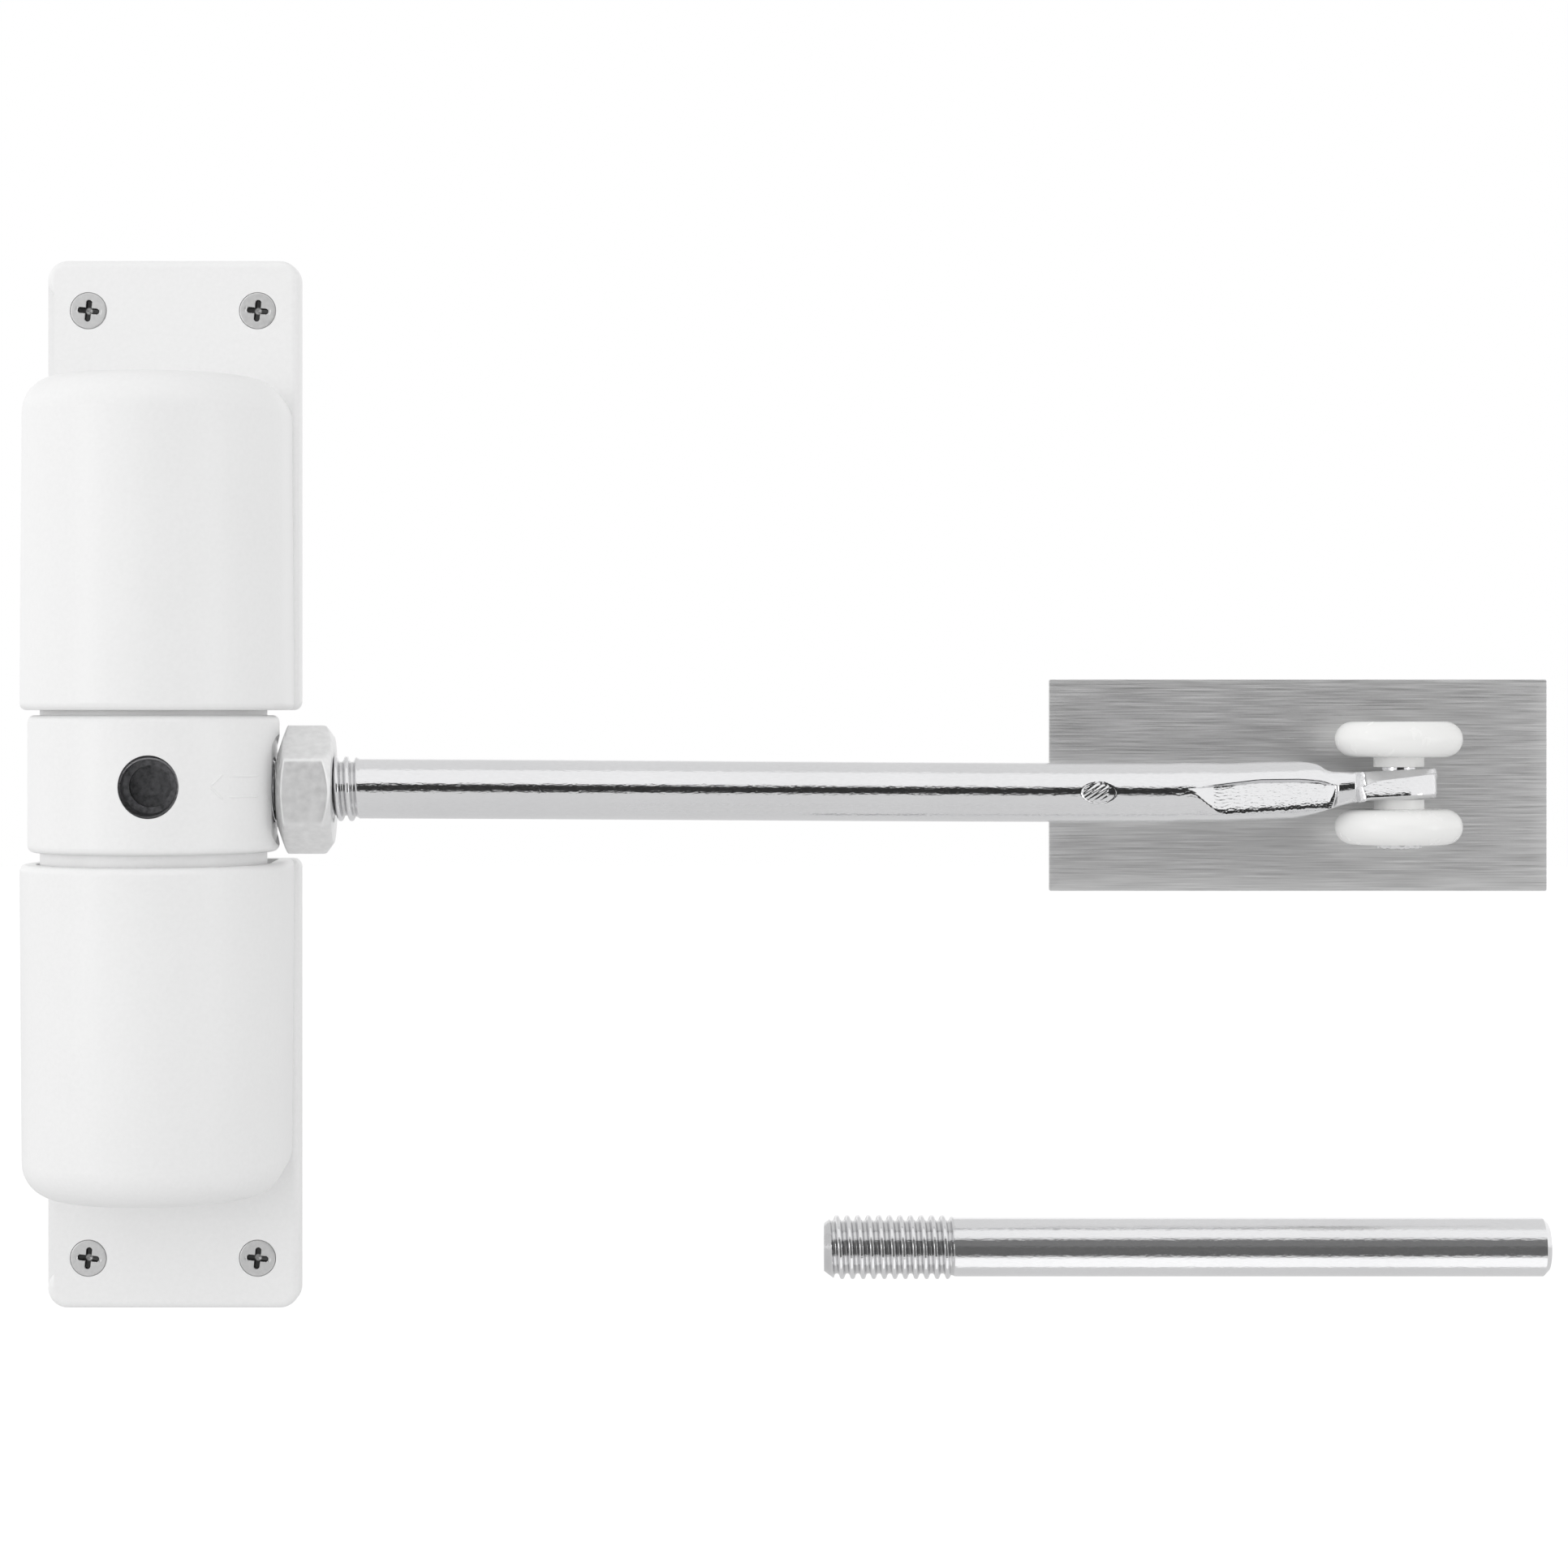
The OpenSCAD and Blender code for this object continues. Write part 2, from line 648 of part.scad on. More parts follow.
// Side view of the forged taper: sharp shoulder above, long slope below
module taper_profile() {
    shoulder = 2.2;
    low = tongue_lift - tongue_t / 2 + arm_drop;
    high = tongue_lift + tongue_t / 2 + arm_drop;
    polygon([[0, -rod_r - past], [0, rod_r + past], [taper_len - shoulder, rod_r + past],
        [taper_len - shoulder, rod_r], [taper_len, high], [taper_len, low],
        [taper_len * 0.75, low - 1], [taper_len * 0.35, -rod_r]]);
}

module arm_rod() {
    tongue_r = tongue_w / 2;
    neck_x = arm_reach - tongue_w * 0.96;
    neck_w = rod_d * 0.93;
    wide_x = arm_reach - tongue_r;
    dog_gap = 0.2;
    start_x = spot_x + dog_gap;
    dog_len = spot_x - recess_x;
    color("silver") with_arm() difference() {
        union() {
            arm_way() {
                translate([0, 0, start_x - dog_len])
                    cylinder(h = dog_len + past, r = recess_r - dog_gap);
                translate([0, 0, start_x]) screw_end(thread_end - start_x);
                translate([0, 0, thread_end]) cylinder(h = neck_x - taper_len - thread_end,
                    r = rod_r);
            }
            intersection() {
                arm_way() translate([0, 0, neck_x - taper_len]) cylinder(h = taper_len, r = rod_r);
                translate([neck_x - taper_len, rod_d, -arm_drop]) rotate([90, 0, 0])
                    linear_extrude(2 * rod_d) taper_profile();
            }
            translate([0, 0, tongue_lift - tongue_t / 2]) {
                translate([neck_x - past, -neck_w / 2, 0])
                    cube([arm_reach - neck_x, neck_w, tongue_t]);
                translate([wide_x, -tongue_r, 0]) cube([tongue_r, tongue_w, tongue_t]);
                translate([wide_x, 0, 0]) cylinder(h = tongue_t, r = tongue_r);
                translate([arm_reach, 0, 0]) cylinder(h = tongue_t, r = tongue_r);
            }
        }
        translate([arm_reach, 0, -tongue_t]) cylinder(h = 3 * tongue_t, r = pin_r + slip);
    }
}

// Hexagon with its corners turned off by a shallow cone at the collar and a chamfer outside
module lock_nut() {
    corner = nut_af / 2 / cos(30);
    dome = (corner - nut_face_r) * 0.35;
    cone = (corner - nut_end_r) * 0.7;
    color("gainsboro") with_arm() arm_way() translate([0, 0, nut_near]) difference() {
        intersection() {
            rotate([0, 0, 1.5]) linear_extrude(nut_t)
                polygon([for (i = [0 : 5]) corner * [cos(60 * i), sin(60 * i)]]);
            union() {
                cylinder(h = dome, r1 = nut_face_r, r2 = corner);
                translate([0, 0, dome]) cylinder(h = nut_t - dome - cone, r = corner + slip);
                translate([0, 0, nut_t - cone]) cylinder(h = cone, r1 = corner, r2 = nut_end_r);
            }
        }
        translate([0, 0, -past]) cylinder(h = nut_t + 2 * past, r = thread_r + slip * 1.5);
    }
}

// Parts on the roller pin: local Z runs along the pin from the middle of the tongue
module on_pin() {
    with_arm() translate([arm_reach, 0, tongue_lift]) children();
}

// Pin with a sunk head above and a peened rivet head below
module roller_pin() {
    rivet = 0.65;
    color("silver") on_pin() {
        translate([0, 0, -roller_out - 0.1]) cylinder(h = 2 * roller_out - pin_head_t + 0.1, r = pin_r);
        translate([0, 0, roller_out - pin_head_t - 0.05]) cylinder(h = pin_head_t, r = pin_head_r);
        translate([0, 0, -roller_out - 0.1 - rivet])
            cylinder(h = rivet, r1 = pin_head_r - 0.5, r2 = pin_head_r);
    }
}

// Profile of a roller beside its axis: fully rounded rim and a boss on the inner side
module roller_profile(sink) {
    rim = roller_w / 2;
    bore = pin_r + run + 0.02;
    difference() {
        union() {
            translate([bore, roller_in]) square([roller_r - rim - bore, roller_w]);
            translate([roller_r - rim, roller_in + rim]) circle(rim);
            translate([bore, boss_face]) square([boss_d / 2 - bore, boss_len + rim]);
        }
        translate([0, roller_out - sink]) square([sink > 0 ? pin_head_r + 0.2 : 0.1, roller_w]);
    }
}

module upper_roller() {
    color("ivory") on_pin() rotate_extrude() roller_profile(pin_head_t + 0.15);
}

module lower_roller() {
    color("ivory") on_pin() mirror([0, 0, 1]) rotate_extrude() roller_profile(0);
}

upper_housing();
lower_housing();
mounting_screws();
center_shaft();
retaining_clips();
upper_thrust_washer();
lower_thrust_washer();
upper_spacer_sleeve();
lower_spacer_sleeve();
upper_spring();
lower_spring();
upper_anchor_plug();
lower_anchor_plug();
anchor_screws();
strike_plate();
adhesive_pad();
adjusting_bar();
hub_collar();
drive_core();
upper_bushing();
lower_bushing();
arm_rod();
lock_nut();
roller_pin();
upper_roller();
lower_roller();
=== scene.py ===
import math

import bmesh
import bpy
import numpy as np
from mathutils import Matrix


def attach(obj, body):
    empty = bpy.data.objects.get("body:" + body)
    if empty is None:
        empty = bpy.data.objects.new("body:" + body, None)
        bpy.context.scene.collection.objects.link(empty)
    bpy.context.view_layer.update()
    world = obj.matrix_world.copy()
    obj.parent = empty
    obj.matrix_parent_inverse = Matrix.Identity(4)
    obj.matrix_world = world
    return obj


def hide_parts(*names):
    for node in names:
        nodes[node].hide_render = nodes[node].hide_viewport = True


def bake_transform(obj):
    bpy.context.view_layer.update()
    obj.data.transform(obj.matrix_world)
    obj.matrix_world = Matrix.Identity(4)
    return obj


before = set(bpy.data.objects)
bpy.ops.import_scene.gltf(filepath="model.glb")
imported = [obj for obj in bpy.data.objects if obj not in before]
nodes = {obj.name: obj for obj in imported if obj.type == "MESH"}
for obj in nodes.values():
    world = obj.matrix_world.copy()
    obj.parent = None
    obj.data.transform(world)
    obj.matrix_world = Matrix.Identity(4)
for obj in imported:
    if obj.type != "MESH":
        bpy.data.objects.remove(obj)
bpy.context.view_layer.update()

# Camera and studio
# The closer is photographed square on from 560 mm, in a white room whose soft light comes a
# little more from the left and below, above a pale floor. A dark opening lies round the camera.
camera_data = bpy.data.cameras.new("photo camera")
camera_data.lens = 84.7
camera_data.sensor_width = 36
camera_data.shift_y = -0.0471
camera_data.clip_start = 0.01
camera = bpy.data.objects.new("photo camera", camera_data)
camera.location = (0.0921, -0.560, 0.0112)
camera.rotation_euler = (math.pi / 2, 0, 0)
bpy.context.scene.collection.objects.link(camera)
bpy.context.scene.camera = camera
bpy.context.scene.view_settings.view_transform = "Standard"

brighter_way = (-0.27, -0.05, -0.6)
room_level = 1.54
room = bpy.data.worlds.new("white room")
bpy.context.scene.world = room
room.use_nodes = True
room_tree = room.node_tree
room_tree.nodes.clear()
room_out = room_tree.nodes.new("ShaderNodeOutputWorld")
room_mix = room_tree.nodes.new("ShaderNodeMixShader")
room_light = room_tree.nodes.new("ShaderNodeBackground")
room_white = room_tree.nodes.new("ShaderNodeBackground")
room_white.inputs["Color"].default_value = (1, 1, 1, 1)
room_way = room_tree.nodes.new("ShaderNodeTexCoord")
room_dot = room_tree.nodes.new("ShaderNodeVectorMath")
room_dot.operation = "DOT_PRODUCT"
room_dot.inputs[1].default_value = brighter_way
room_sum = room_tree.nodes.new("ShaderNodeMath")
room_sum.operation = "ADD"
room_sum.inputs[1].default_value = room_level
room_tree.links.new(room_way.outputs["Generated"], room_dot.inputs[0])
room_tree.links.new(room_dot.outputs["Value"], room_sum.inputs[0])
room_tree.links.new(room_sum.outputs[0], room_light.inputs["Strength"])
room_rays = room_tree.nodes.new("ShaderNodeLightPath")
room_seen = room_rays.outputs["Is Camera Ray"]
for other_ray in ("Is Glossy Ray", "Is Transmission Ray"):
    room_larger = room_tree.nodes.new("ShaderNodeMath")
    room_larger.operation = "MAXIMUM"
    room_tree.links.new(room_seen, room_larger.inputs[0])
    room_tree.links.new(room_rays.outputs[other_ray], room_larger.inputs[1])
    room_seen = room_larger.outputs[0]
room_tree.links.new(room_seen, room_mix.inputs[0])
room_tree.links.new(room_light.outputs[0], room_mix.inputs[1])
room_tree.links.new(room_white.outputs[0], room_mix.inputs[2])
room_tree.links.new(room_mix.outputs[0], room_out.inputs["Surface"])

floor_finish = bpy.data.materials.new("pale floor")
floor_finish.use_nodes = True
floor_tree = floor_finish.node_tree
floor_surface = floor_tree.nodes["Principled BSDF"]
floor_surface.inputs["Base Color"].default_value = (0.78, 0.78, 0.78, 1)
floor_surface.inputs["Roughness"].default_value = 0.9
floor_surface.inputs["Specular IOR Level"].default_value = 0
floor_surface.inputs["Emission Color"].default_value = (1, 1, 1, 1)
floor_rays = floor_tree.nodes.new("ShaderNodeLightPath")
floor_lift = floor_tree.nodes.new("ShaderNodeMath")
floor_lift.operation = "MULTIPLY"
floor_lift.inputs[1].default_value = 0.35
floor_tree.links.new(floor_rays.outputs["Is Camera Ray"], floor_lift.inputs[0])
floor_tree.links.new(floor_lift.outputs[0], floor_surface.inputs["Emission Strength"])


def card_finish(name, strength):
    """A card that shows one plain grey of the given strength."""
    finish = bpy.data.materials.new(name)
    finish.use_nodes = True
    finish.node_tree.nodes.clear()
    out = finish.node_tree.nodes.new("ShaderNodeOutputMaterial")
    plain = finish.node_tree.nodes.new("ShaderNodeEmission")
    plain.inputs["Strength"].default_value = strength
    finish.node_tree.links.new(plain.outputs[0], out.inputs["Surface"])
    return finish


def studio_card(name, corners, finish, seen_by="all"):
    """A flat card or floor of the studio through four corners, in metres. A card seen by the
    shine lies only in reflections."""
    mesh = bpy.data.meshes.new(name)
    mesh.from_pydata(corners, [], [(0, 1, 2, 3)])
    mesh.materials.append(finish)
    card = bpy.data.objects.new(name, mesh)
    bpy.context.scene.collection.objects.link(card)
    if seen_by == "shine":
        card.visible_camera = False
        card.visible_shadow = False
        card.visible_diffuse = False


def upright(low_x, high_x, y, low_z, high_z):
    """Corners of a card that stands square to the view."""
    return [(low_x, y, low_z), (high_x, y, low_z), (high_x, y, high_z), (low_x, y, high_z)]


def level(low_x, high_x, near_y, far_y, z):
    """Corners of a card that lies level."""
    return [(low_x, near_y, z), (high_x, near_y, z), (high_x, far_y, z), (low_x, far_y, z)]


studio_card("floor", level(-3, 3, -3, 3, -0.14), floor_finish)
# The arm's middle reflects the dark opening, and the loose bar's middle the front and the underside
# of a dark tray. The tray's cover hides that underside from the arm. The bar's lower side reflects
# a white mat on the floor.
for name, corners, strength in (
        ("dark opening", upright(-0.05, 0.5, -0.62, -0.09, 0.225), 0.03),
        ("grey ceiling", level(-1.5, 1.7, -0.15, 1.5, 0.75), 0.78),
        ("tray front", upright(0.08, 0.24, -0.06, -0.0975, -0.06), 0.14),
        ("tray underside", level(0.08, 0.24, -0.06, -0.019, -0.06), 0.2),
        ("tray cover", level(0.07, 0.25, -0.063, -0.017, -0.0595), 0.7),
        ("white mat", level(0.085, 0.235, -0.1, -0.022, -0.135), 1.15)):
    studio_card(name, corners, card_finish(name, strength), "shine")

# Two soft lamps stand a metre from the middle of the arm, to its left and right.
for side in (math.radians(-55), math.radians(60)):
    lamp_data = bpy.data.lights.new("side lamp", "AREA")
    lamp_data.size = 0.22
    lamp_data.energy = 0.45
    lamp = bpy.data.objects.new("side lamp", lamp_data)
    lamp.location = (0.16 + math.sin(side), -0.02 - math.cos(side), 0.03)
    lamp.rotation_euler = (math.radians(88), 0, side)
    bpy.context.scene.collection.objects.link(lamp)


# Housings
# The two spring housings are zinc castings, open towards the hub, each with a screw tab. They
# have a white powder coat, semi-gloss, with the fine orange peel of a baked powder.
def surface_finish(name, colour, metallic, roughness, grain, mottle=0.03, swing=0.05, bump=0,
                   cloudy=0.02, detail=3, painted_shade=None):
    """A finish with two noise patterns on object coordinates. The fine one has grain features
    per metre along x, y and z and varies colour by mottle, roughness by swing and height by bump
    metres. The coarse one, of 40 features per metre, varies the colour by cloudy. The mesh
    attribute named in the last argument paints shade onto it, darkening it to a twelfth at
    most."""
    finish = bpy.data.materials.new(name)
    finish.use_nodes = True
    tree = finish.node_tree
    surface = tree.nodes["Principled BSDF"]
    surface.inputs["Metallic"].default_value = metallic
    place = tree.nodes.new("ShaderNodeTexCoord")

    def pattern(scale, depth):
        spread = tree.nodes.new("ShaderNodeMapping")
        spread.inputs["Scale"].default_value = scale
        noise = tree.nodes.new("ShaderNodeTexNoise")
        noise.inputs["Scale"].default_value = 1
        noise.inputs["Detail"].default_value = depth
        tree.links.new(place.outputs["Object"], spread.inputs["Vector"])
        tree.links.new(spread.outputs["Vector"], noise.inputs["Vector"])
        return noise.outputs["Fac"]

    def ranged(value, low, high):
        change = tree.nodes.new("ShaderNodeMapRange")
        change.inputs["From Min"].default_value = 0.3
        change.inputs["From Max"].default_value = 0.7
        change.inputs["To Min"].default_value = low
        change.inputs["To Max"].default_value = high
        tree.links.new(value, change.inputs["Value"])
        return change.outputs["Result"]

    fine = pattern(grain, detail)
    coarse = pattern((40, 40, 40), 2)
    both = tree.nodes.new("ShaderNodeMath")
    both.operation = "MULTIPLY"
    tree.links.new(ranged(fine, 1 - mottle, 1 + mottle), both.inputs[0])
    tree.links.new(ranged(coarse, 1 - cloudy, 1 + cloudy), both.inputs[1])
    shade = both.outputs[0]
    # Painted shade: the mesh attribute darkens the colour where shade falls in recesses and thread
    # grooves.
    if painted_shade:
        mark = tree.nodes.new("ShaderNodeAttribute")
        mark.attribute_name = painted_shade
        unshaded = tree.nodes.new("ShaderNodeMath")
        unshaded.operation = "MULTIPLY_ADD"
        unshaded.inputs[1].default_value = -0.92
        unshaded.inputs[2].default_value = 1
        painted_dark = tree.nodes.new("ShaderNodeMath")
        painted_dark.operation = "MULTIPLY"
        tree.links.new(mark.outputs["Fac"], unshaded.inputs[0])
        tree.links.new(shade, painted_dark.inputs[0])
        tree.links.new(unshaded.outputs[0], painted_dark.inputs[1])
        shade = painted_dark.outputs[0]
    tint = tree.nodes.new("ShaderNodeVectorMath")
    tint.operation = "SCALE"
    tint.inputs[0].default_value = colour
    tree.links.new(shade, tint.inputs["Scale"])
    tree.links.new(tint.outputs["Vector"], surface.inputs["Base Color"])
    tree.links.new(ranged(fine, roughness - swing, roughness + swing), surface.inputs["Roughness"])
    if bump:
        relief = tree.nodes.new("ShaderNodeBump")
        relief.inputs["Strength"].default_value = 1
        relief.inputs["Distance"].default_value = bump
        tree.links.new(fine, relief.inputs["Height"])
        tree.links.new(relief.outputs["Normal"], surface.inputs["Normal"])
    return finish


def dress(finish, *names):
    """Gives CAD nodes their finish."""
    for name in names:
        nodes[name].data.materials.clear()
        nodes[name].data.materials.append(finish)


powder_coat = surface_finish("white powder coat", (0.88, 0.88, 0.88), 0, 0.36, (1700, 1700, 1700),
                             mottle=0.012, bump=0.000025, cloudy=0.008)
dress(powder_coat, "upper_housing", "lower_housing")


# Mounting screws
# Four countersunk wood screws of satin zinc-plated steel hold the tabs to the door frame. The
# cross recess is punched, and the thread is rolled right-handed down to the point.
def make_piece(name, grids, body, finish, stands_for=()):
    """Joins grids of points, each [row, column, xyz] in millimetres, into one closed piece. The
    columns run round a grid and meet. Its first and last row close on their mean points, or meet
    each other where the grid is given with "ring". A piece with no body is left unattached."""
    points, quads, triangles, count = [], [], [], 0
    for grid, form in grids:
        rows, columns = grid.shape[:2]
        index = count + np.arange(rows * columns).reshape(rows, columns)
        right = np.roll(index, -1, axis=1)
        cells = np.stack([index, right, np.roll(right, -1, 0), np.roll(index, -1, 0)], axis=-1)
        points.append(grid.reshape(-1, 3))
        count += rows * columns
        if form == "ring":
            quads.append(cells.reshape(-1, 4))
            continue
        quads.append(cells[:-1].reshape(-1, 4))
        points.append(np.stack([grid[0].mean(0), grid[-1].mean(0)]))
        for row, pole in ((0, count), (-1, count + 1)):
            fan = np.stack([index[row], right[row], np.full(columns, pole)], axis=-1)
            triangles.append(fan)
        count += 2
    mesh = bpy.data.meshes.new(name)
    faces = np.concatenate(quads).tolist()
    if triangles:
        faces += np.concatenate(triangles).tolist()
    mesh.from_pydata((np.concatenate(points) / 1000).tolist(), [], faces)
    shell = bmesh.new()
    shell.from_mesh(mesh)
    bmesh.ops.remove_doubles(shell, verts=shell.verts, dist=2e-7)
    bmesh.ops.recalc_face_normals(shell, faces=shell.faces)
    shell.to_mesh(mesh)
    shell.free()
    mesh.polygons.foreach_set("use_smooth", np.ones(len(mesh.polygons), bool))
    mesh.set_sharp_from_angle(angle=math.radians(38))
    mesh.materials.append(finish)
    piece = bpy.data.objects.new(name, mesh)
    bpy.context.scene.collection.objects.link(piece)
    if body:
        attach(piece, body)
    if stands_for:
        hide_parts(*stands_for)
    return piece


def spots_of(mesh):
    """The mesh's points in millimetres."""
    spots = np.empty(3 * len(mesh.vertices))
    mesh.vertices.foreach_get("co", spots)
    return 1000 * spots.reshape(-1, 3)


def painted_shade_spots(mesh, values):
    """Stores how much painted shade each point gets, from 0 to 1, as the "recess" attribute that a
    finish reads.
    """
    mesh.attributes.new("recess", "FLOAT", "POINT").data.foreach_set("value", values)


def ease(value, low, high):
    """Runs smoothly from 0 at low to 1 at high."""
    share = np.clip((value - low) / (high - low), 0, 1)
    return share * share * (3 - 2 * share)


tab_face = -4


def wood_screw(x, z):
    """Turned about +Y from the middle of the recess, over the rim and cone, down to the point.
    The recess is as deep as the distance to its outline, two round-ended arms and a diamond,
    allows, and a shallow dent lies beyond two of its arms. The thread's height is a peaked wave
    of the depth less the turn."""
    turn = np.linspace(0, 2 * np.pi, 96, endpoint=False)[None, :]
    top = np.linspace(0.03, 2.55, 42)
    edge = [(2.62, 0.01), (2.68, 0.05), (2.70, 0.12), (2.70, 0.25), (2.2, 0.75), (1.65, 1.30)]
    shank = [(1.65, 4.1), (1.42, 4.25), (1.42, 10.6)]
    thread = np.linspace(10.8, 26.9, 150)
    radius = np.concatenate([top, [r for r, _ in edge + shank], np.zeros(150)])[:, None]
    depth = np.concatenate([0 * top, [d for _, d in edge + shank], thread])[:, None]
    slant = math.radians(6)
    reach = radius * np.ones_like(turn)
    across = reach * np.sin(turn)
    up = reach * np.cos(turn)
    along = np.abs(across * math.cos(slant) - up * math.sin(slant))
    beside = np.abs(across * math.sin(slant) + up * math.cos(slant))
    arm = [np.hypot(np.maximum(a - 1.22, 0), b) - 0.41 for a, b in ((along, beside), (beside, along))]
    outline = np.minimum(np.minimum(*arm), (along + beside - 0.86) / math.sqrt(2))
    sunk = (1 - ease(outline, -0.09, 0.03)) * (1.1 - 0.42 * reach)
    dent = 1 - ease(np.hypot((along - 1.78) / 0.2, beside / 0.4), 0.4, 1)
    sunk = np.maximum(sunk, 0.1 * dent)
    deep = depth + np.where(depth == 0, sunk, 0)
    wave = np.abs(((depth - 11) / 1.2 - turn / (2 * np.pi)) % 1 - 0.5) * 2
    crest = np.clip(1.55 * wave - 0.55, 0, 1) * ease(depth, 10.8, 12.2)
    point = np.clip((27.05 - depth) / 3.4, 0.03, 1) ** 0.8
    screw = np.where(depth > 10.7, (1.42 - 0.40 * (1 - crest)) * point, reach)
    return np.stack([x + screw * np.sin(turn), tab_face + deep, z + screw * np.cos(turn)], axis=-1)


satin_zinc = surface_finish("satin zinc", (0.87, 0.87, 0.87), 1, 0.47, (900, 900, 900),
                            mottle=0.05, bump=0.000004, cloudy=0.03)
# The screws' finish has painted shade in the cross recess.
screw_zinc = surface_finish("satin zinc with painted shade in the recess", (0.7, 0.7, 0.7), 1, 0.4,
                            (1500, 1500, 1500), mottle=0.06, bump=0.000005, cloudy=0.03,
                            painted_shade="recess")
screw_x, screw_z = 12.75, 71.4
screw_places = [(x, z) for x in (-screw_x, screw_x) for z in (-screw_z, screw_z)]
screws = make_piece("wood_screws", [(wood_screw(x, z), "closed") for x, z in screw_places], "base",
                    screw_zinc, ["mounting_screws"]).data
# Painted shade fills the cross recess below the head's face, lighter over the recess's centre.
spots = spots_of(screws)
from_axis = np.hypot(np.abs(spots[:, 0]) - screw_x, np.abs(spots[:, 2]) - screw_z)
below = spots[:, 1] - tab_face
painted_shade = ease(below, 0.12, 0.25) * (from_axis < 1.75) * (below < 1.25)
painted_shade *= 0.4 + 0.6 * ease(from_axis, 0.35, 0.6)
painted_shade_spots(screws, painted_shade)

# Centre shaft and its clips
# The hub turns on a ground steel shaft that runs through both housings. A black snap ring of
# spring steel in a groove near each end keeps the shaft between the anchor plugs.
turned_steel = surface_finish("turned steel", (0.5, 0.5, 0.51), 1, 0.32, (120, 120, 3500),
                              mottle=0.08, bump=0.000002, cloudy=0.04)
spring_steel = surface_finish("oil-tempered spring steel", (0.2, 0.2, 0.22), 1, 0.4,
                              (500, 500, 500), mottle=0.12, swing=0.08, bump=0.000003, cloudy=0.1)
dress(turned_steel, "center_shaft")
dress(spring_steel, "retaining_clips")

# Washers and sleeves
# Nylon thrust washers separate the turning core from the steel spacer sleeves, which are cut
# from drawn tube and keep the hub in the middle of the gap.
bearing_nylon = surface_finish("natural nylon", (0.85, 0.83, 0.76), 0, 0.5, (600, 600, 600),
                               mottle=0.02, bump=0.000006)
dress(bearing_nylon, "upper_thrust_washer", "lower_thrust_washer")
dress(turned_steel, "upper_spacer_sleeve", "lower_spacer_sleeve")

# Springs
# Each housing holds a torsion spring of 3 mm round wire, eight turns, the upper right-handed
# and the lower left-handed. One end is in the core, the other in the plug, so it winds up.
hub_y = -20.5


def spring_wire(up):
    """A round wire of radius 1.5 along a path of a straight end, a bend, eight turns, a bend and
    a straight end. Each ring of points lies across the path, set out from the radial direction."""
    radius, low, high, bend = 13.3, 18.9, 47.6, 2.7
    first = math.radians(200)
    lean = bend / radius
    last = first + 2 * np.pi * 8 + 2 * lean
    quarter = np.linspace(0, np.pi / 2, 12)
    angle = np.concatenate([np.full(6, first), first + lean * (1 - np.cos(quarter)),
                            np.linspace(first + lean, last - lean, 400)[1:-1],
                            last - lean * (1 - np.sin(quarter)), np.full(6, last)])
    height = np.concatenate([np.linspace(13.0, 16.0, 6), low - bend + bend * np.sin(quarter),
                             np.linspace(low, high, 400)[1:-1],
                             high + bend * (1 - np.cos(quarter)), np.linspace(50.5, 53.5, 6)])
    out = np.stack([np.cos(angle), np.sin(angle), 0 * angle], axis=-1)
    path = radius * out + np.stack([0 * angle, 0 * angle, height], axis=-1)
    way = np.gradient(path, axis=0)
    way /= np.linalg.norm(way, axis=1, keepdims=True)
    side = np.cross(way, out)
    side /= np.linalg.norm(side, axis=1, keepdims=True)
    face = np.cross(side, way)
    turn = np.linspace(0, 2 * np.pi, 18, endpoint=False)[None, :, None]
    wire = path[:, None] + 1.5 * (np.cos(turn) * face[:, None] + np.sin(turn) * side[:, None])
    return wire * np.array([1, 1, up]) + np.array([0, hub_y, 0])


for name, up in (("upper", 1), ("lower", -1)):
    spring = make_piece(name + "_spring_wire", [(spring_wire(up), "closed")], None,
                        spring_steel, [name + "_spring"])
    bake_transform(spring)

# Anchor plugs and their screws
# A D-shaped steel plug near each closed end takes the spring's outer end. A countersunk machine
# screw through the housing's back holds it.
dress(turned_steel, "upper_anchor_plug", "lower_anchor_plug")
dress(satin_zinc, "anchor_screws")


# Strike plate and adhesive pad
# The rollers press on a plate of stainless strip, brushed along its length, with its edges
# lightly broken. White foam tape sticks it to the door, so it has no screw holes.
def rounded_plate(low, high, corner, edge):
    """Slab between two corners, as outlines of a rounded rectangle. From the back to the front
    each outline is drawn in by the edge's quarter circle."""
    low, high = np.array(low), np.array(high)
    turn = np.linspace(0, 2 * np.pi, 64, endpoint=False) + np.pi / 64
    quarter = np.linspace(0, np.pi / 2, 6)
    drawn_in = np.concatenate([[3], edge * (1 - np.sin(quarter)), edge * (1 - np.cos(quarter)), [3]])
    depth = np.concatenate([[high[1]], high[1] - edge * (1 - np.cos(quarter)),
                            low[1] + edge * (1 - np.sin(quarter)), [low[1]]])
    drawn_in = drawn_in[:, None]
    depth = depth[:, None]
    half = (high - low) / 2
    middle = (high + low) / 2
    round_r = np.maximum(corner - drawn_in, 0.05)
    side_x = np.sign(np.cos(turn)) * (half[0] - drawn_in - round_r)
    side_z = np.sign(np.sin(turn)) * (half[2] - drawn_in - round_r)
    return np.stack([middle[0] + side_x + round_r * np.cos(turn), depth + 0 * turn,
                     middle[2] + side_z + round_r * np.sin(turn)], axis=-1)


brushed_stainless = surface_finish("brushed stainless", (0.78, 0.78, 0.78), 1, 0.42,
                                   (100, 5000, 5000), mottle=0.13, swing=0.06, bump=0.000006,
                                   cloudy=0.03)
strike_corners = (132.19, -2, -16.15), (207.48, -0.8, 15.85)
make_piece("brushed_plate", [(rounded_plate(*strike_corners, 0.3, 0.08), "closed")], "base",
           brushed_stainless, ["strike_plate"])
foam_tape = surface_finish("white foam tape", (0.85, 0.85, 0.84), 0, 0.85, (2500, 2500, 2500),
                           mottle=0.06, bump=0.00006)
dress(foam_tape, "adhesive_pad")


